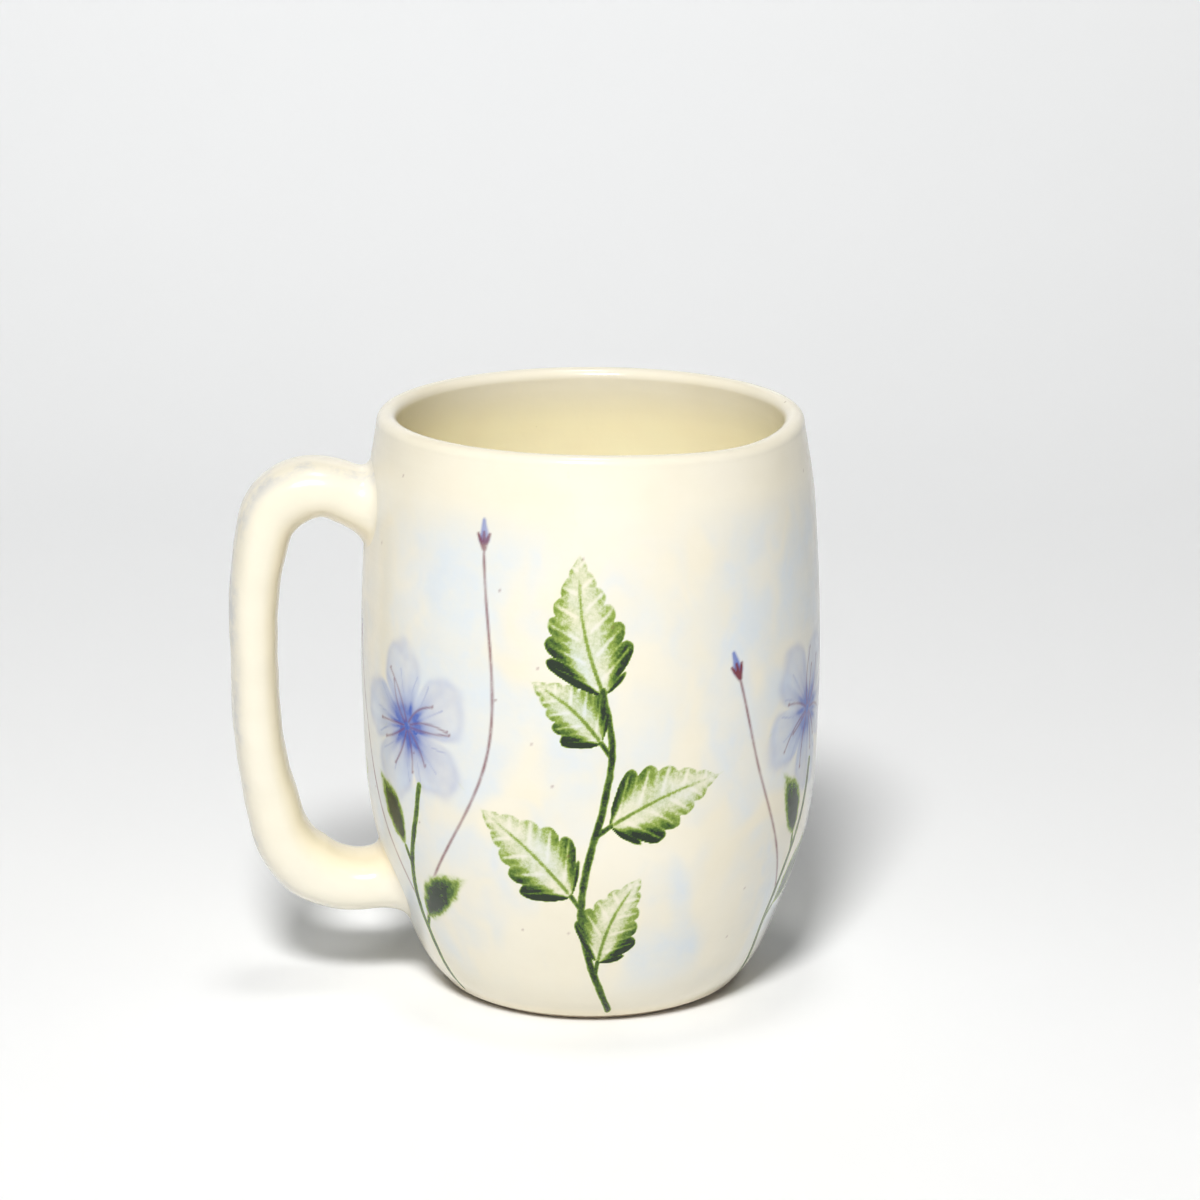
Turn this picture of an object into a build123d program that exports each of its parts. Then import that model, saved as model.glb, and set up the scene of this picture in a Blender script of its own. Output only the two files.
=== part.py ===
from build123d import *
import os

# A hand-thrown barrel mug with a pulled strap handle, glazed inside and out.
# Millimetres. Z is the mug's axis, Z = 0 is the surface that it stands on,
# and the handle points along -X.

# Wall, as glazed: distance from the axis, and height
TOTAL_HEIGHT = 110.0
LIP_RADIUS = 1.9
LIP_CENTRE_RADIUS = 37.6
GLAZE = 0.35
GLAZE_LINE_HEIGHT = 1.2
OUTER_WALL = [
    (28.2, GLAZE_LINE_HEIGHT),
    (30.6, 4.0),
    (36.2, 16.0),
    (41.2, 32.0),
    (42.9, 54.0),
    (42.2, 86.0),
    (41.3, 97.0),
    (40.1, 104.5),
]
INNER_WALL = [
    (36.1, 104.5),
    (37.3, 96.0),
    (38.4, 66.0),
    (36.3, 30.0),
    (28.8, 12.4),
    (15.0, 7.2),
]
FLOOR_TOP = 6.8
WALL_START_DIRECTION = Vector(0.7, 0, 0.72)

# Foot, bare clay
FOOT_RADIUS = 26.5
FOOT_RING_WIDTH = 5.0
FOOT_RECESS_DEPTH = 1.2

# Handle centre line as glazed: distance from the mug's axis, and height
HANDLE_LINE = [
    (37.0, 91.2),
    (58.0, 101.1),
    (63.1, 77.8),
    (62.9, 47.7),
    (56.2, 17.8),
    (28.0, 22.5),
]
HANDLE_BENDS = [10.2, 73.0, 95.0, 15.8]

# Handle section along that line: share of its length, half thickness, half width
HANDLE_SECTIONS = [
    (0.0, 5.3, 8.2),
    (0.11, 5.4, 8.1),
    (0.165, 5.8, 8.0),
    (0.24, 5.1, 7.9),
    (0.32, 4.6, 7.8),
    (0.47, 4.4, 7.7),
    (0.62, 4.75, 7.8),
    (0.70, 5.3, 7.9),
    (0.78, 6.0, 8.0),
    (0.86, 5.45, 8.1),
    (1.0, 5.3, 8.2),
]

# Clay collar pressed round each end of the handle, where it is joined on. The spread is
# how far it stands out past the strap, and the lean is how far the wall there faces up,
# in degrees. It thins to a feather edge on the strap.
COLLAR_SPREAD = 3.0
COLLAR_WAIST_SPREAD = 0.9
COLLAR_LENGTH = 3.6
COLLAR_ROOT_DEPTH = 3.5
COLLAR_FEATHER = 0.02
UPPER_COLLAR = {"share": 0.043, "outwards": 1, "lean": 5}
LOWER_COLLAR = {"share": 0.919, "outwards": -1, "lean": -19}

# Places along an edge where its offset is worked out
OFFSET_SAMPLES = 16


def smooth_edge(points, start_direction, end_direction):
    directions = [start_direction, end_direction]
    return Spline(*points, tangents=directions, tangent_scalars=[1, 1])


def shifted(edge, distance):
    """The edge moved sideways in the XZ plane, to the right of its direction."""
    points = []
    for index in range(OFFSET_SAMPLES + 1):
        share = index / OFFSET_SAMPLES
        here = edge.position_at(share)
        along = edge.tangent_at(share)
        points.append(here + Vector(along.Z, 0, -along.X) * distance)
    return smooth_edge(points, edge.tangent_at(0), edge.tangent_at(1))


def lip_arc(radius, start_degrees, end_degrees):
    """Part of the rounded lip. 0 degrees is outwards and 90 degrees is the crest."""
    centre = Vector(LIP_CENTRE_RADIUS, 0, TOTAL_HEIGHT - LIP_RADIUS)
    middle_degrees = (start_degrees + end_degrees) / 2
    points = []
    for degrees in (start_degrees, middle_degrees, end_degrees):
        points.append(centre + Vector(radius, 0, 0).rotate(Axis.Y, -degrees))
    return ThreePointArc(*points)


def revolved(*edges):
    return revolve(make_face(Wire(edges)), Axis.Z, 360)


def joined(*points):
    """Straight edges through the points, in order."""
    return [Line(start, end) for start, end in zip(points, points[1:])]


lip_height = TOTAL_HEIGHT - LIP_RADIUS
outer_points = [Vector(radius, 0, height) for radius, height in OUTER_WALL]
outer_points.append(Vector(LIP_CENTRE_RADIUS + LIP_RADIUS, 0, lip_height))
outer_edge = smooth_edge(outer_points, WALL_START_DIRECTION, Vector(0, 0, 1))
inner_points = [Vector(LIP_CENTRE_RADIUS - LIP_RADIUS, 0, lip_height)]
inner_points += [Vector(radius, 0, height) for radius, height in INNER_WALL]
inner_points.append(Vector(0, 0, FLOOR_TOP))
inner_edge = smooth_edge(inner_points, Vector(0, 0, -1), Vector(-1, 0, 0))

# The clay lies one glaze thickness inside both glazed surfaces.
outer_clay_edge = shifted(outer_edge, -GLAZE)
inner_clay_edge = shifted(inner_edge, -GLAZE)
clay_lip_radius = LIP_RADIUS - GLAZE


def make_mug_body():
    """Wall, floor and foot ring in one thrown piece."""
    recess_radius = FOOT_RADIUS - FOOT_RING_WIDTH
    under_side = joined(
        inner_clay_edge @ 1,
        Vector(0, 0, FOOT_RECESS_DEPTH),
        Vector(recess_radius - FOOT_RECESS_DEPTH, 0, FOOT_RECESS_DEPTH),
        Vector(recess_radius, 0, 0),
        Vector(FOOT_RADIUS, 0, 0),
        outer_clay_edge @ 0,
    )
    lip = lip_arc(clay_lip_radius, 0, 180)
    return revolved(*under_side, outer_clay_edge, lip, inner_clay_edge)


def make_wall_glaze():
    """The outside coat, from just above the foot to the lip's crest."""
    clay_lip = lip_arc(clay_lip_radius, 0, 90)
    lip = lip_arc(LIP_RADIUS, 90, 0)
    crest = Line(clay_lip @ 1, lip @ 0)
    hem = Line(outer_edge @ 0, outer_clay_edge @ 0)
    return revolved(outer_clay_edge, clay_lip, crest, lip, outer_edge, hem)


def make_liner_glaze():
    """The inside coat, from the lip's crest down the wall and over the floor."""
    clay_lip = lip_arc(clay_lip_radius, 90, 180)
    lip = lip_arc(LIP_RADIUS, 180, 90)
    crest = Line(lip @ 1, clay_lip @ 0)
    floor_centre = Line(inner_clay_edge @ 1, inner_edge @ 1)
    return revolved(clay_lip, inner_clay_edge, floor_centre, inner_edge, lip, crest)


def make_envelope(edge):
    """Everything inside an outside edge of the wall, up to the lip, as one solid."""
    top = edge @ 1
    bottom = edge @ 0
    floor = [Vector(0, 0, top.Z), Vector(0, 0, 0), Vector(bottom.X, 0, 0), bottom]
    return revolved(edge, *joined(top, *floor))


handle_points = [Vector(-distance, 0, height) for distance, height in HANDLE_LINE]
handle_path = Wire(FilletPolyline(*handle_points, radius=HANDLE_BENDS).edges())


def facing_plane(origin, facing):
    """Across a direction in the XZ plane: local X lies in that plane, local Y along Y."""
    return Plane(origin, x_dir=Vector(facing.Z, 0, -facing.X), z_dir=facing)


def make_strap(inset):
    """The handle from inside the wall to inside the wall, inset from its glazed skin."""
    sections = []
    for share, half_thickness, half_width in HANDLE_SECTIONS:
        plane = facing_plane(handle_path.position_at(share), handle_path.tangent_at(share))
        sections.append(plane * Ellipse(half_thickness - inset, half_width - inset))
    return sweep(sections, path=handle_path, multisection=True)


def section_sizes(share):
    """Half thickness and half width of the glazed handle, read between the sections."""
    for first, second in zip(HANDLE_SECTIONS, HANDLE_SECTIONS[1:]):
        if share <= second[0]:
            part_way = (share - first[0]) / (second[0] - first[0])
            thickness = first[1] + (second[1] - first[1]) * part_way
            width = first[2] + (second[2] - first[2]) * part_way
            return thickness, width
    return HANDLE_SECTIONS[-1][1:]


def make_collar(share, outwards, lean, inset):
    """A flare round one end of the handle, widest where it lies on the wall."""
    half_thickness, half_width = section_sizes(share)
    root = handle_path.position_at(share)
    facing = Vector(-1, 0, 0).rotate(Axis.Y, lean)
    end_share = share + outwards * COLLAR_LENGTH / handle_path.length
    end_plane = facing_plane(
        handle_path.position_at(end_share), handle_path.tangent_at(end_share) * outwards
    )
    flare = [
        (facing_plane(root - facing * COLLAR_ROOT_DEPTH, facing), COLLAR_SPREAD),
        (facing_plane(root, facing), COLLAR_SPREAD),
        (facing_plane(root + facing * (COLLAR_LENGTH / 3), facing), COLLAR_WAIST_SPREAD),
        (end_plane, COLLAR_FEATHER),
    ]
    sections = []
    for plane, spread in flare:
        oval = Ellipse(half_thickness - inset + spread, half_width - inset + spread)
        sections.append(plane * oval)
    return loft(sections, ruled=True)


glazed_envelope = make_envelope(outer_edge)
clay_envelope = make_envelope(outer_clay_edge)
strap = make_strap(GLAZE)
glazed_strap = make_strap(0)
upper_collar = make_collar(**UPPER_COLLAR, inset=GLAZE)
lower_collar = make_collar(**LOWER_COLLAR, inset=GLAZE)
glazed_upper_collar = make_collar(**UPPER_COLLAR, inset=0)
glazed_lower_collar = make_collar(**LOWER_COLLAR, inset=0)

# The handle's ends stop at the glazed surface, and the joints' slip fills the rest.
handle = strap - glazed_envelope
handle_skin = glazed_strap + glazed_upper_collar + glazed_lower_collar
nodes = {
    "mug_body": make_mug_body(),
    "outer_glaze": make_wall_glaze() - upper_collar - lower_collar,
    "liner_glaze": make_liner_glaze(),
    "handle": handle,
    "upper_handle_joint": upper_collar - clay_envelope - handle,
    "lower_handle_joint": lower_collar - clay_envelope - handle,
    "handle_glaze": handle_skin - strap - upper_collar - lower_collar - glazed_envelope,
}

os.makedirs("parts", exist_ok=True)
for name, shape in nodes.items():
    export_step(shape, f"parts/{name}.step")
    box = shape.bounding_box()
    print(name, len(shape.solids()), "solid", round(shape.volume, 1), "mm3", box.min, box.max)
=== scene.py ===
import math

import bpy
import numpy as np
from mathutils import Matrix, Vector


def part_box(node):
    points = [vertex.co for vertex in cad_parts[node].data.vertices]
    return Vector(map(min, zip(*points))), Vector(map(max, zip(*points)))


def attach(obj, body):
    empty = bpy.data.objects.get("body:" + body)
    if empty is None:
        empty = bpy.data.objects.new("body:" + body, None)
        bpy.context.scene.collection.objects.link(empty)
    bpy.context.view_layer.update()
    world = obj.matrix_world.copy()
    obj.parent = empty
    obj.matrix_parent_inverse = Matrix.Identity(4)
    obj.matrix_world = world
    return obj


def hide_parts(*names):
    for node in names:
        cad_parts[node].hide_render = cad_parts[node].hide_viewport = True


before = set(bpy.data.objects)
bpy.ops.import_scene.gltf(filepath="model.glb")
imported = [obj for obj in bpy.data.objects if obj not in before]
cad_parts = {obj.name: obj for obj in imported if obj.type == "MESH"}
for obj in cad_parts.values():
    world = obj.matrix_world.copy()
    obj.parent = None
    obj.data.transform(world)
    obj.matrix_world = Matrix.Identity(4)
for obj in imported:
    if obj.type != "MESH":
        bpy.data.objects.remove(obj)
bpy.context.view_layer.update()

# The mug's own lengths are in millimetres and become metres when a mesh is made. Those of
# the materials and the studio are in metres. Z is the mug's axis, and the handle points
# along -X.
MM = 0.001

# ---------------------------------------------------------------- shape of the mug
TOTAL_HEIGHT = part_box("outer_glaze")[1].z / MM
LIP_RADIUS = 1.9
LIP_CENTRE_RADIUS = 37.6
LIP_HEIGHT = TOTAL_HEIGHT - LIP_RADIUS
GLAZE = 0.35
GLAZE_LINE_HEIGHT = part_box("outer_glaze")[0].z / MM

# The glazed wall's outline outside and inside, as (distance from the axis, height)
OUTER_WALL = [
    (28.2, GLAZE_LINE_HEIGHT),
    (30.6, 4.0),
    (36.2, 16.0),
    (41.2, 32.0),
    (42.9, 54.0),
    (42.2, 86.0),
    (41.3, 97.0),
    (40.1, 104.5),
    (39.5, LIP_HEIGHT),
]
INNER_WALL = [
    (35.7, LIP_HEIGHT),
    (36.1, 104.5),
    (37.3, 96.0),
    (38.4, 66.0),
    (36.3, 30.0),
    (28.8, 12.4),
    (15.0, 7.2),
    (0.0, 6.8),
]

FOOT_RADIUS = 26.5
FOOT_RING_WIDTH = 5.0
FOOT_RECESS_DEPTH = 1.2
FOOT_EDGE_ROUNDING = 0.5

# The direction that the painted front faces, and the hand-made lip's low place, counted
# in degrees round the axis from +X.
FRONT = -96.0
LIP_DIP_DIRECTION = FRONT + 48.0
LIP_DIP_WIDTH = 30.0
LIP_DIP = 1.1
LIP_DIP_START = 94.0
OUT_OF_ROUND = 0.12
OUT_OF_ROUND_TURN = 0.7
OUT_OF_ROUND_FROM = 70.0
OUT_OF_ROUND_TO = 108.0

# ---------------------------------------------------------------- shape of the handle
# The corners of the strap's middle line, as (distance from the axis, height), and the
# radius of its bend at each corner between the ends
HANDLE_LINE = [
    (37.0, 91.2),
    (58.0, 101.1),
    (63.1, 77.8),
    (62.9, 47.7),
    (56.2, 17.8),
    (28.0, 22.5),
]
HANDLE_BENDS = [10.2, 73.0, 95.0, 15.8]
HANDLE_STEP = 0.08

# The strap's section along that line, as (share of its length, half thickness, half width)
HANDLE_SECTIONS = [
    (0.0, 5.3, 8.2),
    (0.11, 5.4, 8.1),
    (0.165, 5.8, 8.0),
    (0.24, 5.1, 7.9),
    (0.32, 4.6, 7.8),
    (0.47, 4.4, 7.7),
    (0.62, 4.75, 7.8),
    (0.70, 5.3, 7.9),
    (0.78, 6.0, 8.0),
    (0.86, 5.45, 8.1),
    (1.0, 5.3, 8.2),
]
SECTION_SQUARENESS = 2.35

# Where the line crosses the wall's surface, as shares of its length, and the flared joints
# that meet the wall there
WALL_SHARES = (0.043, 0.919)
JOINT_REACH = 4.6
JOINT_SPREAD = 3.4
SECTION_POINTS = 72
STRAP_STEPS = 150
JOINT_STEPS = 10
DIRECTION_REACH = 0.02
JOINT_SEARCH_REACH = 25.0
JOINT_HALVINGS = 30
JOINT_EDGE_DEPTH = 0.05
JOINT_ROOT_DEPTH = 1.2

# ---------------------------------------------------------------- fineness of the vessel
WALL_COLUMNS = 960
WALL_STEP = 0.3
LINER_COLUMNS = 360
LINER_STEP = 0.7
CLAY_COLUMNS = 288
CLAY_INSET = 0.05
CLAY_SHARP_ANGLE = 35

# ---------------------------------------------------------------- painted wall
PAINT_RADIUS = 42.9
ROUND_THE_WALL = 2 * math.pi * PAINT_RADIUS
NOISE_ROWS = 64
NOISE_FIRST_ROW = 8
STROKE_STEP = 0.8

# Painted pattern: leafy and flowering sprigs by turns, evenly round the wall, with the
# handle halfway between two of them
HANDLE_PLACE = math.radians(-180 - FRONT) * PAINT_RADIUS
SPRIGS = 6
SPRIG_SEED = 40
SPRIG_FOOT = 3.0
LEAFY_STEM_TOP = 68.0
LEAFY_STEM_LEANS = (3, 6)
LEAFY_STEM_SWAY, LEAFY_STEM_WAVES = 4.5, 1.7
FLOWER_STEM_LEANS = (1, 3)
FLOWER_STEM_SWAY, FLOWER_STEM_WAVES = 3.0, 1.4

LEAF_ANGLE = 50.0
LEAF_ANGLE_SPREAD = 7
LEAF_STALK = 3.5
LEAF_TEETH = 5
LEAF_WIDEST_AT = 0.3
VEIN_SLOPE = 0.75
VEIN_WIDTH = 0.1
RIB_WIDTH = 0.42
TIP_LEAF_LENGTH = 26
TIP_LEAF_WIDTH = 8.0
TOOTHED_LEAF_BEND = 1.2
TIP_LEAF_BEND = 1.5
PLAIN_LEAF_BEND = 1.5
PLAIN_LEAF_LOAD = 1.15

# A leaf's width as a share of its length
TOOTHED_LEAF_WIDTHS = (0.3, 0.35)
PLAIN_LEAF_WIDTHS = (0.19, 0.22)

# Where on the stem each leaf grows, as a share of the stem's length, and the leaf's length
TOOTHED_LEAVES = ((0.14, 19), (0.37, 24), (0.6, 22), (0.83, 17))
PLAIN_LEAVES = ((0.3, 21), (0.62, 17))

FLOWER_HEIGHT = 57.0
FLOWER_SIZES = (16, 17.5)

# How far the stem ends below the flower's middle, and how far the petals' veins and the
# stamens reach from it, as shares of the flower's size
STEM_GAP = 0.62
PETAL_VEINS = (0.12, 0.62)
STAMEN_START = 0.06
STAMEN_REACHES = (0.4, 0.72)
PETALS = 5
VEIN_FANS = (-0.3, 0.0, 0.3)
STAMENS = 10
HEART_MARKS = 10

# Where on the flower's stem each bud's thread begins, and the bud's height over the flower
TALL_BUD_FROM, TALL_BUD_RISE = 0.3, 36
SHORT_BUD_FROM, SHORT_BUD_RISE = 0.45, 11
BUD_CUP_TURNS = (-25, 0, 25)

# The heights over which the blue wash comes in and fades out again
WASH_RISE = (4, 16)
WASH_FALL = (90, 103)

# The span of the wash's noise from bare glaze to full wash, and the strength of full wash
WASH_COVER = (0.3, 0.68)
WASH_STRENGTH = 0.92

SPECKS = 40
SPECK_HEIGHTS = (12, 104)
SPECK_SEED = 20261117


def smoothstep(low, high, value):
    share = np.clip((value - low) / (high - low), 0, 1)
    return share * share * (3 - 2 * share)


def smooth_line(points, step):
    """A smooth curve through the points, with a point about every step."""
    points = np.array(points, float)
    chords = np.linalg.norm(np.diff(points, axis=0), axis=1)
    at = np.concatenate([[0], np.cumsum(chords)])
    slopes = np.gradient(points, at, axis=0)
    places = np.linspace(0, at[-1], int(at[-1] / step) + 2)
    span = np.clip(np.searchsorted(at, places, side="right") - 1, 0, len(chords) - 1)
    length = chords[span][:, None]
    t = (places - at[span])[:, None] / length
    start = points[span] * (1 + 2 * t) * (1 - t) ** 2
    end = points[span + 1] * t * t * (3 - 2 * t)
    leave = slopes[span] * length * t * (1 - t) ** 2
    arrive = slopes[span + 1] * length * t * t * (t - 1)
    return start + end + leave + arrive


def lip_arc(radius, start, end, count):
    """Part of the rounded lip as (distance, height). 0 degrees is outwards."""
    turn = np.radians(np.linspace(start, end, count))
    return np.stack([LIP_CENTRE_RADIUS + radius * np.cos(turn), LIP_HEIGHT + radius * np.sin(turn)], 1)


def offset(line, distance):
    """The line moved to the left of its direction."""
    along = np.gradient(line, axis=0)
    along /= np.linalg.norm(along, axis=1)[:, None]
    return line + np.stack([-along[:, 1], along[:, 0]], 1) * distance


outer_line = smooth_line(OUTER_WALL, WALL_STEP)
inner_line = smooth_line(INNER_WALL, LINER_STEP)


def wall_radius(height):
    return np.interp(height, outer_line[:, 1], outer_line[:, 0])


def by_hand(points):
    """Moves points of the thrown vessel a little out of true, as a hand leaves them."""
    x, y, z = points.T
    turn = np.arctan2(y, x)
    away = np.degrees(np.angle(np.exp(1j * (turn - math.radians(LIP_DIP_DIRECTION)))))
    high = smoothstep(LIP_DIP_START, TOTAL_HEIGHT, z)
    low_place = LIP_DIP * np.exp(-((away / LIP_DIP_WIDTH) ** 2)) * high
    upper = smoothstep(OUT_OF_ROUND_FROM, OUT_OF_ROUND_TO, z)
    swell = 1 + OUT_OF_ROUND / PAINT_RADIUS * np.cos(2 * turn + OUT_OF_ROUND_TURN) * upper
    return np.stack([x * swell, y * swell, z - low_place], 1)


def new_piece(name, points, faces, material, replaced, sharp_angle=50):
    mesh = bpy.data.meshes.new(name)
    mesh.from_pydata((np.asarray(points) * MM).tolist(), [], faces)
    mesh.validate()
    mesh.shade_smooth()
    mesh.set_sharp_from_angle(angle=math.radians(sharp_angle))
    mesh.materials.append(material)
    piece = bpy.data.objects.new(name, mesh)
    bpy.context.scene.collection.objects.link(piece)
    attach(piece, "root")
    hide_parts(*replaced)
    return piece


def add_field(piece, name, values):
    layer = piece.data.attributes.new(name, "FLOAT", "POINT")
    layer.data.foreach_set("value", np.asarray(values, np.float32).ravel())


def turned(outline, columns, closed):
    """Points and faces of an outline turned about the axis. Ends at distance 0 are poles."""
    turn = math.radians(FRONT + 180) + np.arange(columns) * 2 * math.pi / columns
    points = []
    rings = []
    for distance, height in outline:
        if distance < 1e-6:
            rings.append([len(points)] * columns)
            points.append((0.0, 0.0, height))
            continue
        rings.append(list(range(len(points), len(points) + columns)))
        points.extend(zip(distance * np.cos(turn), distance * np.sin(turn), [height] * columns))
    faces = []
    pairs = list(zip(rings, rings[1:]))
    if closed:
        pairs.append((rings[-1], rings[0]))
    for lower, upper in pairs:
        for column in range(columns):
            after = (column + 1) % columns
            face = [lower[column], lower[after], upper[after], upper[column]]
            if lower[0] == lower[1]:
                face = [lower[0], upper[after], upper[column]]
            elif upper[0] == upper[1]:
                face = [lower[column], lower[after], upper[0]]
            faces.append(face)
    return by_hand(np.array(points)), faces


# ---------------------------------------------------------------- painting
def value_noise(across, up, size, seed):
    """Soft random patches from 0 to 1 that join up round the wall."""
    cells = max(3, round(ROUND_THE_WALL / size))
    table = np.random.default_rng(seed).random((cells, NOISE_ROWS))
    x = across / ROUND_THE_WALL * cells
    y = up / size + NOISE_FIRST_ROW
    left, low = np.floor(x).astype(int), np.floor(y).astype(int)
    fx, fy = x - left, y - low
    fx, fy = fx * fx * (3 - 2 * fx), fy * fy * (3 - 2 * fy)

    def cell(dx, dy):
        return table[(left + dx) % cells, (low + dy) % NOISE_ROWS]

    bottom = cell(0, 0) * (1 - fx) + cell(1, 0) * fx
    top = cell(0, 1) * (1 - fx) + cell(1, 1) * fx
    return bottom * (1 - fy) + top * fy


def clouds(across, up, size, seed):
    """Patches like value_noise, with their edges carried about so that no grid shows."""
    shift_across = value_noise(across, up, size * 0.8, seed + 100) - 0.5
    shift_up = value_noise(across, up, size * 0.8, seed + 200) - 0.5
    across = across + shift_across * size * 0.9
    up = up + shift_up * size * 0.9
    broad = value_noise(across, up, size, seed)
    return broad * 0.6 + value_noise(across, up, size * 0.45, seed + 1) * 0.4


class Painting:
    """Layers of pigment on the wall: mm round from the front, and mm of height."""

    LAYERS = ("leaf", "wash", "petal", "ink")

    def __init__(self, across, up):
        self.across = across
        self.up = up
        self.layers = {name: np.zeros((len(up), len(across))) for name in self.LAYERS}

    def near(self, points, reach):
        """The part of the wall within reach of the points, unrolled about them."""
        points = np.asarray(points)
        middle = points[:, 0].mean()
        half = np.abs(points[:, 0] - middle).max() + reach
        away = (self.across - middle + ROUND_THE_WALL / 2) % ROUND_THE_WALL - ROUND_THE_WALL / 2
        columns = np.where(np.abs(away) < half)[0]
        low, high = points[:, 1].min() - reach, points[:, 1].max() + reach
        rows = np.where((self.up > low) & (self.up < high))[0]
        u, v = np.meshgrid(middle + away[columns], self.up[rows])
        return np.ix_(rows, columns), u, v

    def lay(self, layer, where, amount):
        self.layers[layer][where] = np.maximum(self.layers[layer][where], amount)
        if layer == "leaf":
            # Green is painted over any dry thread that it crosses.
            self.layers["ink"][where] *= 1 - smoothstep(0.02, 0.3, amount)

    def stroke(self, layer, points, width, strength, taper=0.5):
        """A brush line through the points, thinner at its far end."""
        line = smooth_line(points, STROKE_STEP)
        where, u, v = self.near(line, width + 1)
        nearest = np.full(u.shape, 1e9)
        along = np.zeros(u.shape)
        for index, (start, end) in enumerate(zip(line, line[1:])):
            step = end - start
            t = ((u - start[0]) * step[0] + (v - start[1]) * step[1]) / (step @ step)
            t = np.clip(t, 0, 1)
            gap = np.hypot(u - start[0] - t * step[0], v - start[1] - t * step[1])
            closer = gap < nearest
            nearest[closer] = gap[closer]
            along[closer] = (index + t[closer]) / (len(line) - 1)
        ragged = value_noise(u, v, size=1.3, seed=5)
        half = width / 2 * (1 - taper * along) * (0.8 + 0.4 * ragged)
        covered = 1 - smoothstep(half * 0.5, half + 0.32, nearest)
        self.lay(layer, where, covered * strength * (0.75 + 0.4 * value_noise(u, v, size=2.2, seed=6)))

    def along_leaf(self, base, tip, width, bend):
        """Where each place near a leaf lies: its share of the length, and mm to one side."""
        base, tip = np.array(base, float), np.array(tip, float)
        length = np.linalg.norm(tip - base)
        axis = (tip - base) / length
        where, u, v = self.near([base, tip], width * 1.8)
        share = ((u - base[0]) * axis[0] + (v - base[1]) * axis[1]) / length
        aside = (v - base[1]) * axis[0] - (u - base[0]) * axis[1]
        aside = aside - bend * np.sin(math.pi * np.clip(share, 0, 1))
        return where, u, v, share, aside

    def plain_leaf(self, base, tip, width, bend=0.0, load=1.0):
        """A smooth leaf filled in with one turn of the brush, with a soft pale fringe."""
        where, u, v, share, aside = self.along_leaf(base, tip, width, bend)
        t = np.clip(share, 0, 1)
        half = width * np.sin(math.pi * t**0.8) ** 0.9
        depth = half - np.abs(aside) + (value_noise(u, v, size=1.8, seed=17) - 0.5) * 0.7
        inside = smoothstep(-0.5, 0.7, depth) * smoothstep(-0.03, 0.02, share)
        fringe = 0.12 + 0.88 * smoothstep(0.1, width * 0.75, depth)
        fade = 1 - 0.8 * smoothstep(0.35, 1, t)
        grain = 0.75 + 0.45 * value_noise(u, v, size=0.8, seed=9)
        self.lay("leaf", where, inside * load * fringe * fade * grain)

    def toothed_leaf(self, base, tip, width, teeth, bend=0.0, heavy_side=1, load=1.0):
        """A scalloped leaf, darkest in the lobes by its base, with veins left pale."""
        where, u, v, share, aside = self.along_leaf(base, tip, width, bend)
        length = np.linalg.norm(np.subtract(tip, base))
        t = np.clip(share, 0, 1)
        rise = np.sin(math.pi / 2 * np.minimum(t / LEAF_WIDEST_AT, 1)) ** 0.7
        beyond = np.clip((t - LEAF_WIDEST_AT) / (1 - LEAF_WIDEST_AT), 0, 1)
        outline = width * rise * (1 - beyond**1.5)
        # The veins run forward as they go out, each to the crest of a lobe.
        lobes = (share - VEIN_SLOPE * np.abs(aside) / length) * teeth + 0.25 * (aside > 0)
        in_lobe = lobes % 1.0
        crest = np.sin(math.pi * in_lobe) ** 0.55
        depth = outline * (0.76 + 0.24 * crest) - np.abs(aside)
        depth = depth + (value_noise(u, v, size=1.2, seed=12) - 0.5) * 0.35
        inside = smoothstep(-0.25, 0.3, depth) * smoothstep(-0.04, 0.02, share)
        out = np.clip(np.abs(aside) / np.maximum(outline, 0.2), 0, 1)
        heavy = np.where(aside * heavy_side > 0, 1.0, 0.6)
        near_base = 1 - smoothstep(0.0, 0.75, t)
        lobe_tone = smoothstep(0.25, 0.9, out) * (0.35 + 0.65 * crest)
        lobe_tone = lobe_tone * (0.18 + 1.75 * near_base**1.6)
        hairs = value_noise(lobes * 9 + 90, np.abs(aside) * 0.5, size=1.0, seed=14)
        tone = 0.1 + 0.14 * clouds(u, v, size=3.5, seed=21) + lobe_tone * heavy * (0.75 + 0.75 * hairs)
        veins = np.exp(-(((in_lobe - 0.5) / VEIN_WIDTH) ** 2))
        veins = veins * smoothstep(0.05, 0.2, out) * (1 - smoothstep(0.8, 1.0, out))
        self.lay("leaf", where, inside * load * tone * (1 - 0.55 * veins))
        rib = np.exp(-((aside / RIB_WIDTH) ** 2)) * smoothstep(0.0, 0.05, share)
        rib = rib * (1 - smoothstep(0.75, 1.02, share))
        self.lay("leaf", where, rib * load * (0.55 - 0.3 * t))

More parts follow.
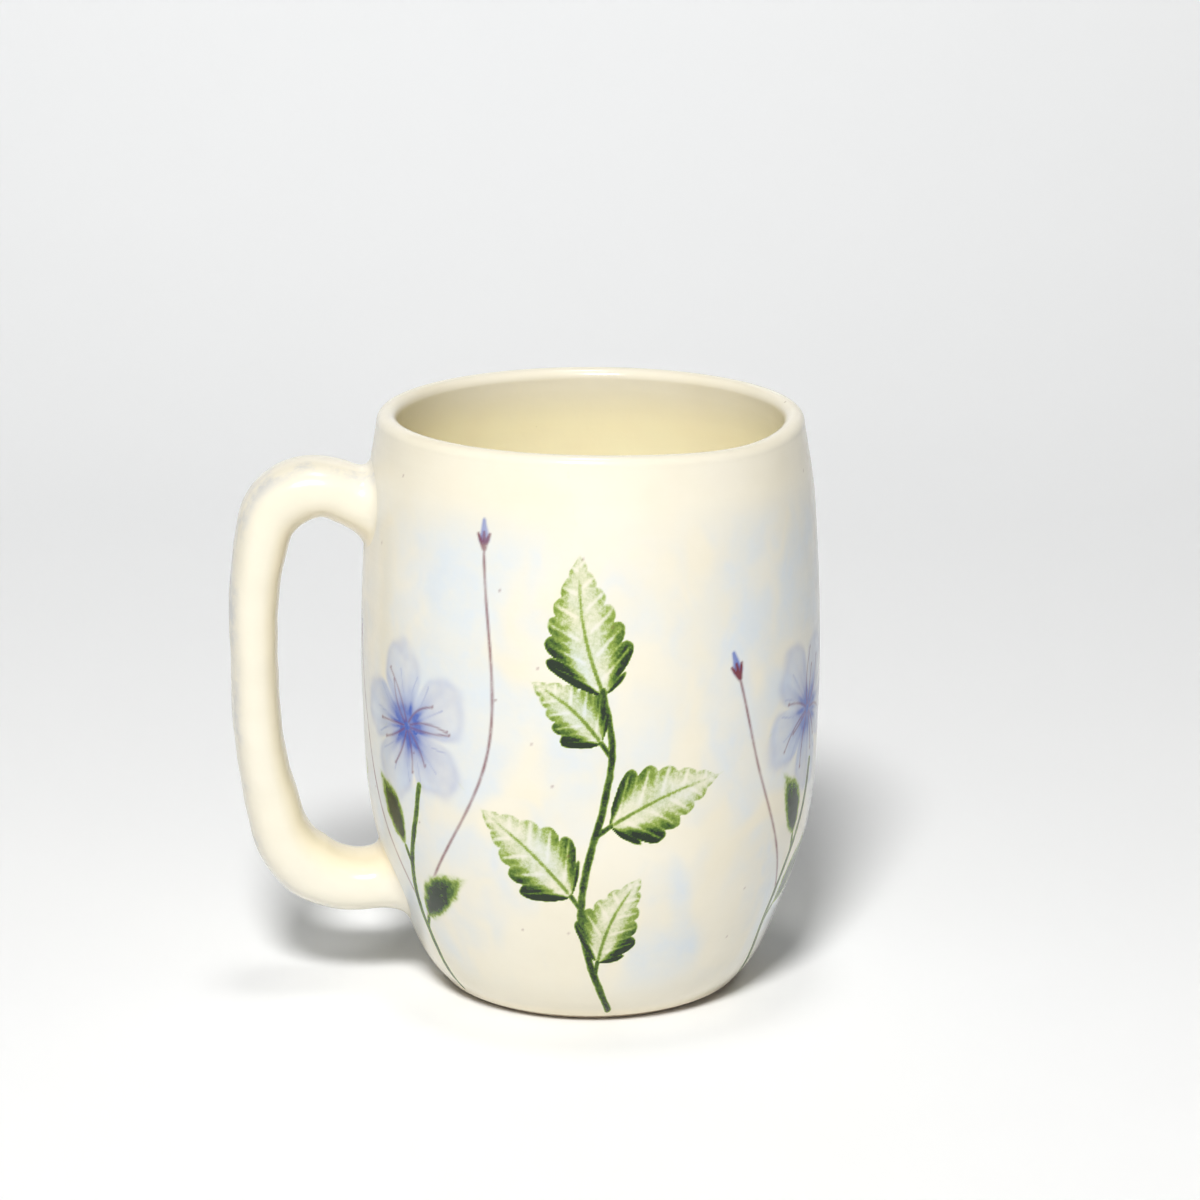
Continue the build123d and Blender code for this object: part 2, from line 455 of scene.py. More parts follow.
    def flower(self, centre, size, draw):
        """Five soft petals about a dense heart, with fine veins and short curved stamens."""
        centre = np.array(centre, float)
        where, u, v = self.near([centre - size, centre + size], size * 0.4)
        du, dv = u - centre[0], v - centre[1]
        far = np.hypot(du, dv) / size
        first = draw.uniform(0, 2 * math.pi)
        turn = np.arctan2(dv, du) - first
        petal_edge = 0.6 + 0.4 * np.abs(np.cos(turn * PETALS / 2)) ** 0.7
        petal_edge = petal_edge + (value_noise(u, v, size=3.5, seed=41) - 0.5) * 0.16
        inside = 1 - smoothstep(petal_edge - 0.2, petal_edge + 0.03, far)
        gaps = np.exp(-((np.cos(turn * PETALS / 2) / 0.16) ** 2))
        parted = 1 - 0.6 * gaps * smoothstep(0.25, 0.5, far)
        streaks = value_noise(np.cos(turn) * 14 + 60, np.sin(turn) * 14 + far * 3, size=2.0, seed=43)
        heart = np.exp(-((far / 0.25) ** 1.8)) * (0.8 + 0.6 * streaks)
        spread = np.exp(-far / 0.3) * (0.15 + 1.1 * streaks) * 0.9
        rim = 0.13 * np.exp(-(((far - petal_edge + 0.12) / 0.07) ** 2))
        haze = 0.03 + 0.17 * clouds(u, v, size=5.0, seed=44)
        self.lay("petal", where, np.clip((heart + spread + rim + haze) * inside * parted, 0, 1))
        self.lay("wash", where, inside * (0.75 + 0.4 * clouds(u, v, size=4.5, seed=45)))
        for petal in range(PETALS):
            for fan in VEIN_FANS:
                heading = first + 2 * math.pi * petal / PETALS + fan
                vein = ray(centre, heading, fan * 0.6, size * PETAL_VEINS[0], size * PETAL_VEINS[1])
                self.stroke("petal", vein, width=0.3, strength=0.5, taper=0.8)
        for stamen in range(STAMENS):
            heading = 2 * math.pi * (stamen + draw.uniform(-0.3, 0.3)) / STAMENS
            curl = draw.uniform(-0.5, 0.5)
            reach = size * draw.uniform(*STAMEN_REACHES)
            thread = ray(centre, heading, curl, size * STAMEN_START, reach)
            self.stroke("ink", thread, width=0.12, strength=0.6, taper=0.4)
            self.stroke("ink", [thread[-1], thread[-1] + 0.2], width=0.3, strength=0.7)
        for _ in range(HEART_MARKS):
            heading = draw.uniform(0, 2 * math.pi)
            start = size * draw.uniform(0, 0.06)
            mark = ray(centre, heading, 0, start, size * draw.uniform(0.12, 0.22))
            width = draw.uniform(0.7, 1.2)
            self.stroke("petal", mark, width, strength=draw.uniform(0.8, 1.2))

    def bud(self, stalk):
        """A closed bud on a dry thread, held in a dark cup."""
        self.stroke("ink", stalk, width=0.34, strength=0.75, taper=0.1)
        tip = stalk[-1]
        along = (stalk[-1] - stalk[-2]) / np.linalg.norm(stalk[-1] - stalk[-2])
        bloom = [tip + along * 1.6, tip + along * 5.0]
        self.stroke("petal", bloom, width=2.3, strength=0.85, taper=0.75)
        for turn in BUD_CUP_TURNS:
            sepal = [tip, tip + rotated(along, turn) * 2.8]
            self.stroke("ink", sepal, width=1.1, strength=0.95, taper=0.75)


def rotated(direction, degrees):
    turn = math.radians(degrees)
    across = direction[0] * math.cos(turn) - direction[1] * math.sin(turn)
    return np.array([across, direction[0] * math.sin(turn) + direction[1] * math.cos(turn)])


def ray(centre, heading, curl, near, far):
    """Points out from a centre, from near to far, turning by curl on the way."""
    points = []
    for share in (0.0, 0.35, 0.7, 1.0):
        angle = heading + curl * share
        reach = near + (far - near) * share
        points.append(centre + reach * np.array([math.cos(angle), math.sin(angle)]))
    return points


def bowed(foot, top, sway, waves):
    """A stem's course from foot to top, swaying to its left in part of a wave."""
    foot, top = np.array(foot, float), np.array(top, float)
    side = np.array([foot[1] - top[1], top[0] - foot[0]]) / np.linalg.norm(top - foot)
    shares = np.linspace(0, 1, 7)[:, None]
    swing = side * sway * np.sin(math.pi * waves * shares)
    return smooth_line(foot + (top - foot) * shares + swing, STROKE_STEP)


def shoot(stem, share, degrees, reach):
    """Both ends of a side shoot that leaves the stem at a share of its length."""
    index = int(share * (len(stem) - 2))
    along = (stem[index + 1] - stem[index]) / np.linalg.norm(stem[index + 1] - stem[index])
    return stem[index], stem[index] + rotated(along, degrees) * reach


def stalked_leaf(painting, stem, share, hand, length, draw, toothed):
    """A leaf on a short stalk. hand is 1 on the left of the stem and -1 on its right."""
    degrees = hand * (LEAF_ANGLE + draw.uniform(-LEAF_ANGLE_SPREAD, LEAF_ANGLE_SPREAD))
    start, base = shoot(stem, share, degrees * 0.7, LEAF_STALK)
    tip = base + (shoot(stem, share, degrees, 1)[1] - start) * length
    painting.stroke("leaf", [start, base], width=0.8, strength=0.75, taper=0.1)
    if toothed:
        width = length * draw.uniform(*TOOTHED_LEAF_WIDTHS)
        load = draw.uniform(0.9, 1.1)
        painting.toothed_leaf(base, tip, width, LEAF_TEETH, -hand * TOOTHED_LEAF_BEND, hand, load)
    else:
        width = length * draw.uniform(*PLAIN_LEAF_WIDTHS)
        painting.plain_leaf(base, tip, width, -hand * PLAIN_LEAF_BEND, PLAIN_LEAF_LOAD)


def leafy_sprig(painting, place, hand, draw):
    """A tall stem with toothed leaves by turns on either side and one at its tip."""
    lean = -hand * draw.uniform(*LEAFY_STEM_LEANS)
    top = (place + lean, LEAFY_STEM_TOP)
    stem = bowed((place, SPRIG_FOOT), top, hand * LEAFY_STEM_SWAY, LEAFY_STEM_WAVES)
    painting.stroke("leaf", stem, width=1.6, strength=0.85, taper=0.4)
    for share, length in TOOTHED_LEAVES:
        length = length * draw.uniform(0.92, 1.08)
        stalked_leaf(painting, stem, share, -hand, length, draw, True)
        hand = -hand
    base, tip = shoot(stem, 1.0, 0, TIP_LEAF_LENGTH)
    painting.toothed_leaf(base, tip, TIP_LEAF_WIDTH, LEAF_TEETH + 1, hand * TIP_LEAF_BEND, hand)


def flowering_sprig(painting, place, hand, draw):
    """A stem up to an open flower, with smooth leaves low down and two buds on dry threads."""
    size = draw.uniform(*FLOWER_SIZES)
    centre = np.array([place + hand * draw.uniform(*FLOWER_STEM_LEANS), FLOWER_HEIGHT])
    top = centre - (0, size * STEM_GAP)
    stem = bowed((place, SPRIG_FOOT), top, hand * FLOWER_STEM_SWAY, FLOWER_STEM_WAVES)
    tall = [
        shoot(stem, TALL_BUD_FROM, 0, 0)[0],
        centre + (hand * size * 1.12, -1),
        centre + (hand * size * 1.05, TALL_BUD_RISE),
    ]
    short = [
        shoot(stem, SHORT_BUD_FROM, 0, 0)[0],
        centre - (hand * size, size * 0.4),
        centre + (-hand * size * 1.3, SHORT_BUD_RISE),
    ]
    painting.bud(smooth_line(tall, STROKE_STEP))
    painting.bud(smooth_line(short, STROKE_STEP))
    painting.stroke("leaf", stem, width=1.5, strength=0.8, taper=0.3)
    for share, length in PLAIN_LEAVES:
        stalked_leaf(painting, stem, share, -hand, length, draw, False)
        hand = -hand
    painting.flower(centre, size, draw)


def paint_wall(across, up):
    painting = Painting(across, up)
    u, v = np.meshgrid(across, up)
    patches = clouds(u, v * 0.8, size=16, seed=3) * 0.75 + clouds(u, v * 0.7, size=5, seed=8) * 0.25
    in_middle = smoothstep(*WASH_RISE, v) * (1 - smoothstep(*WASH_FALL, v))
    painting.layers["wash"][:] = smoothstep(*WASH_COVER, patches) * in_middle * WASH_STRENGTH
    for index in range(SPRIGS):
        place = HANDLE_PLACE + (index + 0.5) * ROUND_THE_WALL / SPRIGS
        # The lowest leaf on each sprig points away from the handle.
        hand = 1 if index < SPRIGS / 2 else -1
        draw = np.random.default_rng(SPRIG_SEED + index)
        sprig = leafy_sprig if index % 2 else flowering_sprig
        sprig(painting, place, hand, draw)
    draw = np.random.default_rng(SPECK_SEED)
    for _ in range(SPECKS):
        spot = np.array([draw.uniform(0, ROUND_THE_WALL), draw.uniform(*SPECK_HEIGHTS)])
        painting.stroke("ink", [spot, spot + draw.uniform(0.05, 0.2, 2)], width=0.12, strength=0.5)
    return painting.layers


# ---------------------------------------------------------------- materials
class Shader:
    """Short calls for building one material's nodes."""

    def __init__(self, name):
        self.material = bpy.data.materials.new(name)
        self.material.use_nodes = True
        self.tree = self.material.node_tree
        self.surface = self.tree.nodes["Principled BSDF"]
        self.place = self.tree.nodes.new("ShaderNodeTexCoord").outputs["Object"]

    def join(self, source, target):
        self.tree.links.new(source, target)

    def noise(self, scale, detail=4.0, roughness=0.55, stretch=(1, 1, 1)):
        mapping = self.tree.nodes.new("ShaderNodeMapping")
        mapping.inputs["Scale"].default_value = stretch
        self.join(self.place, mapping.inputs["Vector"])
        node = self.tree.nodes.new("ShaderNodeTexNoise")
        node.inputs["Scale"].default_value = scale
        node.inputs["Detail"].default_value = detail
        node.inputs["Roughness"].default_value = roughness
        self.join(mapping.outputs["Vector"], node.inputs["Vector"])
        return node.outputs["Fac"]

    def field(self, name):
        node = self.tree.nodes.new("ShaderNodeAttribute")
        node.attribute_name = name
        return node.outputs["Fac"]

    def height(self):
        node = self.tree.nodes.new("ShaderNodeSeparateXYZ")
        self.join(self.place, node.inputs["Vector"])
        return node.outputs["Z"]

    def ramp(self, value, *stops):
        node = self.tree.nodes.new("ShaderNodeValToRGB")
        elements = node.color_ramp.elements
        while len(elements) < len(stops):
            elements.new(0.5)
        for element, (position, colour) in zip(elements, stops):
            element.position = position
            element.color = (*colour, 1)
        self.join(value, node.inputs["Fac"])
        return node.outputs["Color"]

    def span(self, value, low, high, to_low=0.0, to_high=1.0):
        node = self.tree.nodes.new("ShaderNodeMapRange")
        node.interpolation_type = "SMOOTHSTEP"
        sockets = ("From Min", "From Max", "To Min", "To Max")
        for socket, number in zip(sockets, (low, high, to_low, to_high)):
            node.inputs[socket].default_value = number
        self.join(value, node.inputs["Value"])
        return node.outputs["Result"]

    def times(self, first, second):
        node = self.tree.nodes.new("ShaderNodeMath")
        node.operation = "MULTIPLY"
        self.join(first, node.inputs[0])
        if isinstance(second, (int, float)):
            node.inputs[1].default_value = second
        else:
            self.join(second, node.inputs[1])
        return node.outputs["Value"]

    def mix(self, share, first, second):
        node = self.tree.nodes.new("ShaderNodeMix")
        node.data_type = "RGBA"
        self.join(share, node.inputs["Factor"])
        for socket, colour in ((node.inputs[6], first), (node.inputs[7], second)):
            if isinstance(colour, tuple):
                socket.default_value = (*colour, 1)
            else:
                self.join(colour, socket)
        return node.outputs[2]

    def bump(self, *layers):
        """Each layer is a value and its height in metres."""
        below = None
        for value, height in layers:
            node = self.tree.nodes.new("ShaderNodeBump")
            node.inputs["Distance"].default_value = height
            self.join(value, node.inputs["Height"])
            if below is not None:
                self.join(below, node.inputs["Normal"])
            below = node.outputs["Normal"]
        self.join(below, self.surface.inputs["Normal"])

    def finish(self, colour, roughness):
        self.join(colour, self.surface.inputs["Base Color"])
        self.join(roughness, self.surface.inputs["Roughness"])
        return self.material


CREAM = (0.80, 0.75, 0.61)
PALE_CREAM = (0.83, 0.79, 0.675)
# WARM_CREAM also serves as the painted reflection of the cream wall on the handle's inner side.
WARM_CREAM = (0.90, 0.80, 0.58)
LINER_YELLOW = (1.0, 0.95, 0.69)
LINER_CREAM = (0.99, 0.91, 0.66)
WASH_BLUE = (0.655, 0.715, 0.77)
PETAL_BLUE = (0.05, 0.11, 0.46)
INK = (0.17, 0.028, 0.045)
HANDLE_MARK_BLUE = (0.40, 0.45, 0.56)
LEAF_STOPS = (
    (0.0, (0.60, 0.66, 0.33)),
    (0.28, (0.28, 0.38, 0.06)),
    (0.55, (0.065, 0.14, 0.006)),
    (0.85, (0.005, 0.018, 0.002)),
)
CLAY_STOPS = (
    (0.25, (0.40, 0.31, 0.21)),
    (0.5, (0.60, 0.50, 0.37)),
    (0.8, (0.72, 0.64, 0.51)),
)
SPECK_BROWN = (0.25, 0.17, 0.09)

# The heights between which the glaze by the foot turns from warm to plain cream, and those
# between which the lip's cream turns to the liner's yellow
FOOT_TINT_SPAN = (0.0012, 0.004)
LINER_TINT_SPAN = (0.1085, 0.098)


def glaze_surface(shader):
    """The soft waviness and throwing rings that a poured glaze shows in its shine."""
    rings = shader.noise(30, detail=2, stretch=(0.15, 0.15, 8))
    waves = shader.noise(70, detail=2)
    peel = shader.noise(900, detail=2)
    shader.bump((rings, 0.00012), (waves, 0.00018), (peel, 0.00002))
    shader.surface.inputs["IOR"].default_value = 1.42
    shader.surface.inputs["Coat Weight"].default_value = 0.12
    shader.surface.inputs["Coat Roughness"].default_value = 0.05
    return shader.span(shader.noise(160, detail=3), 0.3, 0.7, 0.16, 0.24)


def cream_colour(shader):
    clouds = shader.noise(45, detail=5)
    return shader.ramp(clouds, (0.3, CREAM), (0.7, PALE_CREAM))


def wall_material():
    shader = Shader("painted_cream_glaze")
    roughness = glaze_surface(shader)
    low = shader.span(shader.height(), *FOOT_TINT_SPAN, 0.5, 0.0)
    colour = shader.mix(low, cream_colour(shader), WARM_CREAM)
    water = shader.span(shader.noise(110, detail=6, roughness=0.6), 0.32, 0.68, 0.55, 1.0)
    colour = shader.mix(shader.times(shader.field("wash"), water), colour, WASH_BLUE)
    settled = shader.span(shader.noise(300, detail=5, roughness=0.6), 0.3, 0.7, 0.82, 1.0)
    colour = shader.mix(shader.times(shader.field("petal"), settled), colour, PETAL_BLUE)
    grain = shader.span(shader.noise(1500, detail=3, roughness=0.7), 0.3, 0.7, 0.72, 1.12)
    pigment = shader.times(shader.field("leaf"), grain)
    green = shader.ramp(pigment, *LEAF_STOPS)
    colour = shader.mix(shader.span(pigment, 0.02, 0.34), colour, green)
    broken = shader.span(shader.noise(1300, detail=3, roughness=0.7), 0.25, 0.5, 0.7, 1.0)
    colour = shader.mix(shader.times(shader.field("ink"), broken), colour, INK)
    return shader.finish(colour, roughness)


def handle_material():
    shader = Shader("handle_cream_glaze")
    roughness = glaze_surface(shader)
    blotch = shader.span(shader.noise(95, detail=5, roughness=0.65), 0.47, 0.66)
    marks = shader.times(shader.times(shader.field("outer_edge"), blotch), 0.5)
    # Painted reflection: the strap's inner side, which faces the wall, is tinted warm as though lit by
    # light bounced off the cream wall.
    painted_reflection = shader.times(shader.field("inner_side_painted_reflection"), 0.75)
    colour = shader.mix(painted_reflection, cream_colour(shader), WARM_CREAM)
    return shader.finish(shader.mix(marks, colour, HANDLE_MARK_BLUE), roughness)


def liner_material():
    shader = Shader("liner_glaze_yellow")
    roughness = glaze_surface(shader)
    depth = shader.span(shader.height(), *LINER_TINT_SPAN)
    pooled = shader.ramp(shader.noise(60, detail=5), (0.3, LINER_YELLOW), (0.7, LINER_CREAM))
    colour = shader.mix(depth, cream_colour(shader), pooled)
    speck = shader.span(shader.noise(420, detail=2), 0.74, 0.78, 0.0, 0.6)
    return shader.finish(shader.mix(speck, colour, SPECK_BROWN), roughness)


def clay_material(name):
    shader = Shader(name)
    grit = shader.noise(700, detail=6, roughness=0.7)
    shader.bump((grit, 0.00018), (shader.noise(120, detail=4), 0.0002))
    return shader.finish(shader.ramp(grit, *CLAY_STOPS), shader.span(grit, 0.3, 0.7, 0.75, 0.92))


# ---------------------------------------------------------------- pieces of the vessel
def make_wall():
    lip = lip_arc(LIP_RADIUS, 0, 90, count=12)
    outside = np.concatenate([outer_line, lip[1:]])
    clay_lip = lip_arc(LIP_RADIUS - GLAZE, 90, 0, count=5)
    # The coat's hidden back has far fewer points than its face.
    backing = offset(outer_line, GLAZE)[::-1][6::14]
    hem = offset(outer_line, GLAZE)[:1]
    outline = np.concatenate([outside, clay_lip, backing, hem])
    points, faces = turned(outline, WALL_COLUMNS, closed=True)
    material = wall_material()
    piece = new_piece("painted_wall_glaze", points, faces, material, ["outer_glaze"])
    # The first column faces away from the front, so the painting's seam is behind.
    across = (np.arange(WALL_COLUMNS) / WALL_COLUMNS - 0.5) * ROUND_THE_WALL
    layers = paint_wall(across, outside[:, 1])
    for name, values in layers.items():
        field = np.zeros((len(outline), WALL_COLUMNS))
        field[: len(outside)] = values
        add_field(piece, name, field)


def make_liner():
    lip = lip_arc(LIP_RADIUS, 90, 180, count=12)
    clay_lip = lip_arc(LIP_RADIUS - GLAZE, 180, 90, count=8)
    backing = offset(inner_line, GLAZE)[::-1]
    backing[0, 0] = 0
    backing = np.concatenate([backing[:1], backing[3:-1:3]])
    outline = np.concatenate([lip, inner_line[1:], backing, clay_lip])
    points, faces = turned(outline, LINER_COLUMNS, closed=True)
    material = liner_material()
    new_piece("liner_glaze_skin", points, faces, material, ["liner_glaze"])


def make_clay_body():
    recess = FOOT_RADIUS - FOOT_RING_WIDTH
    rounding = FOOT_EDGE_ROUNDING
    under_side = [
        (0, FOOT_RECESS_DEPTH),
        (recess - FOOT_RECESS_DEPTH, FOOT_RECESS_DEPTH),
        (recess - rounding, rounding * 0.3),
        (recess, 0),
        (FOOT_RADIUS - rounding, 0),
        (FOOT_RADIUS, rounding * 0.4),
    ]
    lip = lip_arc(LIP_RADIUS - GLAZE - CLAY_INSET, 0, 180, count=16)
    outside = offset(outer_line, GLAZE + CLAY_INSET)
    outside = np.concatenate([outside[:-1:6], outside[-1:]])
    inside = offset(inner_line, GLAZE + CLAY_INSET)
    inside[-1, 0] = 0
    inside = np.concatenate([inside[:-1:3], inside[-1:]])
    outline = np.concatenate([under_side, outside, lip[1:-1], inside])
    points, faces = turned(outline, CLAY_COLUMNS, closed=False)
    material = clay_material("bare_stoneware")
    new_piece("clay_body", points, faces, material, ["mug_body"], CLAY_SHARP_ANGLE)


# ---------------------------------------------------------------- handle
def rounded_path(corners, radii, step):
    """Straight runs joined by arcs of the radii, with a point about every step."""
    corners = [np.array(corner, float) for corner in corners]
    line = [corners[0]]
    for before, corner, after, radius in zip(corners, corners[1:], corners[2:], radii):
        back = (before - corner) / np.linalg.norm(before - corner)
        onward = (after - corner) / np.linalg.norm(after - corner)
        half = math.acos(np.clip(back @ onward, -1, 1)) / 2
        middle = (back + onward) / np.linalg.norm(back + onward)
        centre = corner + middle * radius / math.sin(half)
        first = corner + back * radius / math.tan(half) - centre
        last = corner + onward * radius / math.tan(half) - centre
        start = math.atan2(first[1], first[0])
        swing = math.remainder(math.atan2(last[1], last[0]) - start, 2 * math.pi)
        for turn in start + np.linspace(0, swing, max(6, int(abs(swing) * radius / step))):
            line.append(centre + radius * np.array([math.cos(turn), math.sin(turn)]))
    line.append(corners[-1])
    line = np.array(line)
    gaps = np.linalg.norm(np.diff(line, axis=0), axis=1)
    return line, np.concatenate([[0], np.cumsum(gaps)])


handle_line, handle_lengths = rounded_path(HANDLE_LINE, HANDLE_BENDS, HANDLE_STEP)
handle_length = handle_lengths[-1]


def handle_at(share):
    at = share * handle_length
    return np.array([np.interp(at, handle_lengths, handle_line[:, axis]) for axis in (0, 1)])


def handle_direction(share):
    step = handle_at(min(1, share + DIRECTION_REACH)) - handle_at(max(0, share - DIRECTION_REACH))
    return step / np.linalg.norm(step)


section_turn = np.arange(SECTION_POINTS) * 2 * math.pi / SECTION_POINTS


def rounded_power(values):
    return np.sign(values) * np.abs(values) ** (2 / SECTION_SQUARENESS)


def strap_ring(share):
    """One section of the strap as points in space."""
    shares, thick, wide = zip(*HANDLE_SECTIONS)
    # A slow and a quick unevenness, left where the clay was pulled by hand.
    uneven = 1 + 0.012 * math.sin(share * 41) + 0.008 * math.sin(share * 97 + 1)
    half_thickness = np.interp(share, shares, thick) * uneven
    half_width = np.interp(share, shares, wide) * (2 - uneven)
    middle, along = handle_at(share), handle_direction(share)
    outward = np.array([-along[1], along[0]])
    thickness = rounded_power(np.cos(section_turn)) * half_thickness
    across = rounded_power(np.sin(section_turn)) * half_width
    distance = middle[0] + outward[0] * thickness
    return np.stack([-distance, across, middle[1] + outward[1] * thickness], 1)


def on_wall(points, depth):
    scale = (wall_radius(points[:, 2]) - depth) / np.hypot(points[:, 0], points[:, 1])
    return points * np.stack([scale, scale, np.ones(len(points))], 1)


def joint_rings(share, inward):
    """Rings of the flare from the wall out to the strap, the deepest first."""
    edge = strap_ring(share)
    along = handle_direction(share) * inward
    step = np.array([-along[0], 0, along[1]])
    near, far = np.zeros(SECTION_POINTS), np.full(SECTION_POINTS, JOINT_SEARCH_REACH)
    for _ in range(JOINT_HALVINGS):
        middle = (near + far) / 2
        probe = edge + step * middle[:, None]
        outside = np.hypot(probe[:, 0], probe[:, 1]) > wall_radius(probe[:, 2])
        near, far = np.where(outside, middle, near), np.where(outside, far, middle)
    hit = edge + step * near[:, None]
    spread = hit - hit.mean(0)
    normal = np.stack([hit[:, 0], hit[:, 1], np.zeros(len(hit))], 1)
    normal /= np.linalg.norm(normal, axis=1)[:, None]
    spread -= normal * (spread * normal).sum(1)[:, None]
    spread /= np.linalg.norm(spread, axis=1)[:, None]
    root = on_wall(hit + spread * JOINT_SPREAD, JOINT_EDGE_DEPTH)
    rings = [on_wall(root, JOINT_ROOT_DEPTH)]
    for t in np.linspace(0, 1, JOINT_STEPS):
        rings.append(root * (1 - t) ** 2 + hit * 2 * t * (1 - t) + edge * t * t)
    return rings


GLAZED_OVER = ["handle_glaze", "upper_handle_joint", "lower_handle_joint"]


def make_handle():
    reach = JOINT_REACH / handle_length
    first, last = WALL_SHARES[0] + reach, WALL_SHARES[1] - reach
    rings = joint_rings(first, -1)
    rings += [strap_ring(share) for share in np.linspace(first, last, STRAP_STEPS)[1:-1]]
    rings += joint_rings(last, 1)[::-1]
    points = np.concatenate(rings + [rings[0].mean(0)[None], rings[-1].mean(0)[None]])
    faces = []
    for ring in range(len(rings) - 1):
        for place in range(SECTION_POINTS):
            after = (place + 1) % SECTION_POINTS
            low, high = ring * SECTION_POINTS, (ring + 1) * SECTION_POINTS
            faces.append([low + place, high + place, high + after, low + after])
    last_ring = (len(rings) - 1) * SECTION_POINTS
    for place in range(SECTION_POINTS):
        after = (place + 1) % SECTION_POINTS
        faces.append([place, after, len(points) - 2])
        faces.append([last_ring + after, last_ring + place, len(points) - 1])
    material = handle_material()
    piece = new_piece("glazed_handle", points, faces, material, GLAZED_OVER)
    edge = smoothstep(0.45, 0.95, np.cos(section_turn))
    add_field(piece, "outer_edge", np.concatenate([np.tile(edge, len(rings)), [0, 0]]))
    # The part of each section that faces the wall, which gets the warm painted reflection.
    inner = smoothstep(0.1, 0.8, -np.cos(section_turn))
    add_field(piece, "inner_side_painted_reflection", np.concatenate([np.tile(inner, len(rings)), [0, 0]]))


def dress_inner_clay():
    """The clay of the handle, which the glaze covers."""
    material = clay_material("covered_stoneware")
    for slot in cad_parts["handle"].material_slots:
        slot.material = material


# ---------------------------------------------------------------- studio
# The paper behind the mug stays low, because a tall wall of it throws light into the shadows.
FLOOR_EDGE = 0.36
SWEEP_RADIUS = 0.55
SWEEP_TOP = 0.75
SWEEP_STEPS = 24
FLOOR_HALF_WIDTH = 1.5
FLOOR_FRONT = -1.6

PAPER_STOPS = (
    (0.3, (0.92, 0.935, 0.955)),
    (0.7, (0.94, 0.952, 0.97)),
)

# The world's strength near the horizon and overhead, and the height of a direction where
# the one gives way to the other
HORIZON_STRENGTH = 0.5
OVERHEAD_STRENGTH = 0.02
HORIZON_GLOW_FROM = 0.14
HORIZON_GLOW_TO = 0.24

# Each lamp's name, place, aim, size, power, colour, and spread in degrees
MUG_MIDDLE = (0, 0, 0.06)
LAMPS = (
    ("key", (-0.23, -0.92, 1.08), MUG_MIDDLE, 0.32, 19.4, (1.0, 0.985, 0.955), 180),
    ("top", (0.0, 0.0, 1.45), MUG_MIDDLE, 0.24, 3.6, (1.0, 0.985, 0.95), 180),
    ("backdrop", (0.0, 0.62, 1.6), (0.0, 0.80, 0.05), 0.5, 0.42, (0.96, 0.98, 1.0), 55),
)

CAMERA_DISTANCE = 0.72687
CAMERA_HEIGHT = 0.2711
CAMERA_PITCH = 15.217
CAMERA_TURN = -6.0
CAMERA_SIDESTEP = 0.00175
CAMERA_LENS = 120.64
CAMERA_SENSOR = 36.0


def make_floor():
    outline = [(FLOOR_FRONT, 0.0), (FLOOR_EDGE, 0.0)]
    for turn in np.linspace(0, math.pi / 2, SWEEP_STEPS)[1:]:
        forward = FLOOR_EDGE + SWEEP_RADIUS * math.sin(turn)
        outline.append((forward, SWEEP_RADIUS * (1 - math.cos(turn))))
    outline.append((FLOOR_EDGE + SWEEP_RADIUS, SWEEP_TOP))
    turn = math.radians(CAMERA_TURN)
    points = []
    for forward, up in outline:
        for across in (-FLOOR_HALF_WIDTH, FLOOR_HALF_WIDTH):
            x = across * math.cos(turn) - forward * math.sin(turn)
            y = across * math.sin(turn) + forward * math.cos(turn)
            points.append((x, y, up))
    faces = [[i * 2, i * 2 + 1, i * 2 + 3, i * 2 + 2] for i in range(len(outline) - 1)]
    mesh = bpy.data.meshes.new("studio_sweep")
    mesh.from_pydata(points, [], faces)
    mesh.shade_smooth()
    shader = Shader("white_paper")
    paper = shader.ramp(shader.noise(3, detail=4), *PAPER_STOPS)
    mesh.materials.append(shader.finish(paper, shader.span(shader.noise(40), 0.3, 0.7, 0.6, 0.7)))
    floor = bpy.data.objects.new("studio_sweep", mesh)
    bpy.context.scene.collection.objects.link(floor)


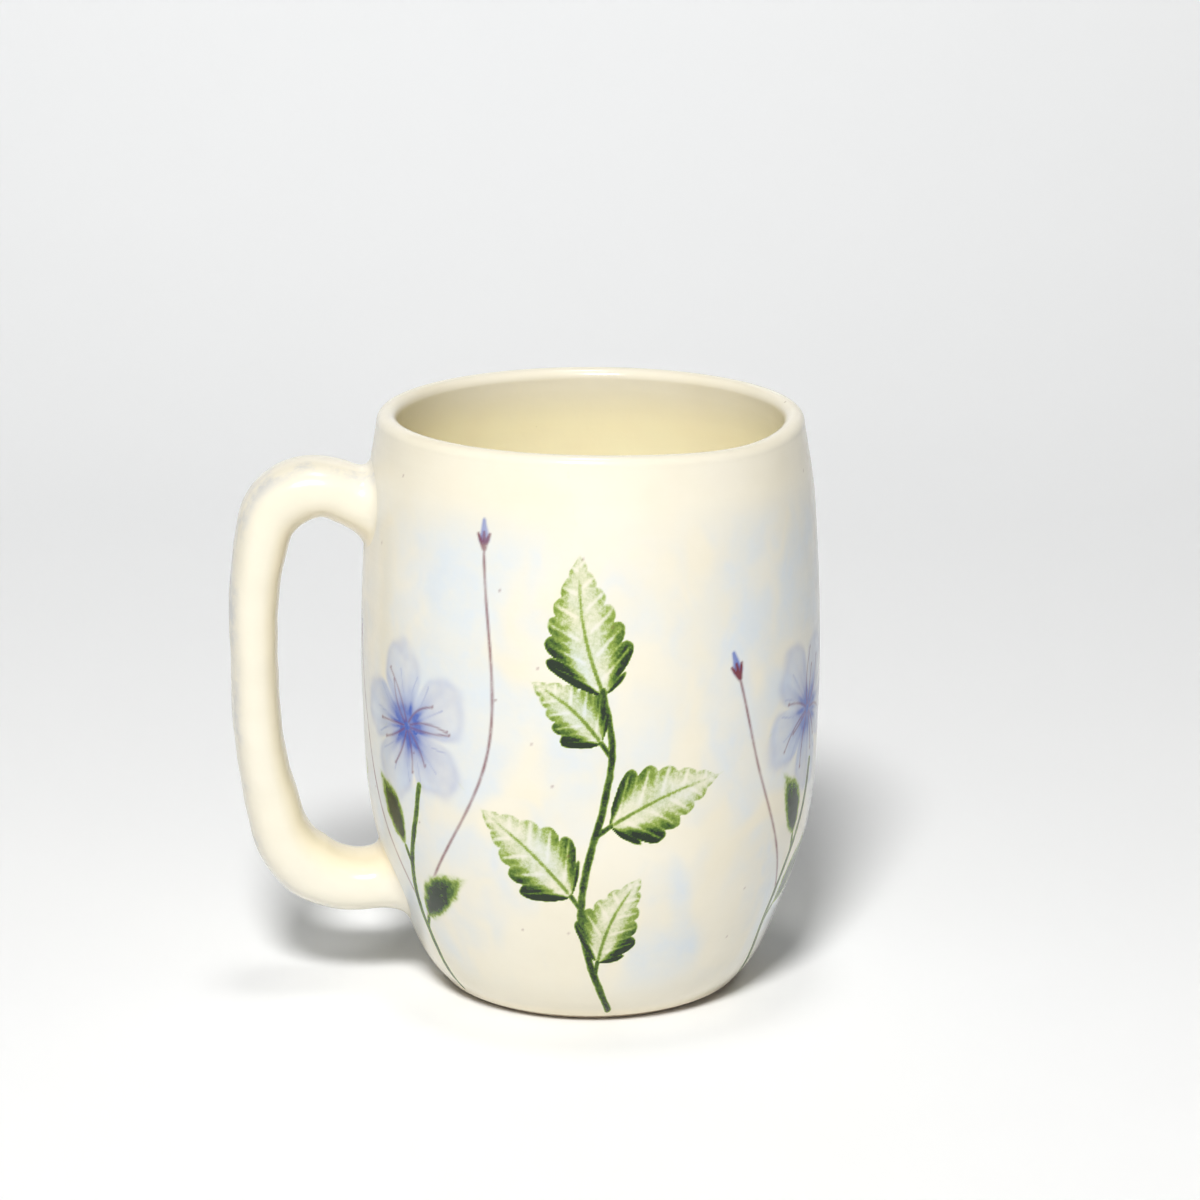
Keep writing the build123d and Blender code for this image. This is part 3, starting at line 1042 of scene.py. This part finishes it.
def add_area_light(name, place, aim, size, power, colour, spread):
    light = bpy.data.lights.new(name, "AREA")
    light.shape = "DISK"
    light.size = size
    light.energy = power
    light.spread = math.radians(spread)
    light.color = colour
    lamp = bpy.data.objects.new(name, light)
    lamp.location = place
    direction = np.array(aim) - np.array(place)
    lamp.rotation_euler = Vector(direction).to_track_quat("-Z", "Y").to_euler()
    bpy.context.scene.collection.objects.link(lamp)


def light_studio():
    world = bpy.data.worlds.new("studio")
    world.use_nodes = True
    background = world.node_tree.nodes["Background"]
    background.inputs["Color"].default_value = (1.0, 1.0, 1.0, 1)
    # Pale round the horizon and dim overhead, so that the shadows on the floor stay deep.
    direction = world.node_tree.nodes.new("ShaderNodeTexCoord").outputs["Generated"]
    split = world.node_tree.nodes.new("ShaderNodeSeparateXYZ")
    fade = world.node_tree.nodes.new("ShaderNodeMapRange")
    fade.interpolation_type = "SMOOTHSTEP"
    fade.inputs["From Min"].default_value = HORIZON_GLOW_FROM
    fade.inputs["From Max"].default_value = HORIZON_GLOW_TO
    fade.inputs["To Min"].default_value = HORIZON_STRENGTH
    fade.inputs["To Max"].default_value = OVERHEAD_STRENGTH
    world.node_tree.links.new(direction, split.inputs["Vector"])
    world.node_tree.links.new(split.outputs["Z"], fade.inputs["Value"])
    world.node_tree.links.new(fade.outputs["Result"], background.inputs["Strength"])
    scene = bpy.context.scene
    scene.world = world
    scene.view_settings.view_transform = "Standard"
    for lamp in LAMPS:
        add_area_light(*lamp)


def add_camera():
    turn = math.radians(CAMERA_TURN)
    across = np.array([math.cos(turn), math.sin(turn), 0])
    away = np.array([-math.sin(turn), math.cos(turn), 0])
    data = bpy.data.cameras.new("camera")
    data.lens = CAMERA_LENS
    data.sensor_width = CAMERA_SENSOR
    camera = bpy.data.objects.new("camera", data)
    place = -away * CAMERA_DISTANCE + across * CAMERA_SIDESTEP
    camera.location = place + np.array([0, 0, CAMERA_HEIGHT])
    camera.rotation_euler = (math.radians(90 - CAMERA_PITCH), 0, turn)
    bpy.context.scene.collection.objects.link(camera)
    bpy.context.scene.camera = camera


add_camera()
light_studio()
make_floor()
make_clay_body()
make_wall()
make_liner()
make_handle()
dress_inner_clay()

bpy.context.view_layer.update()
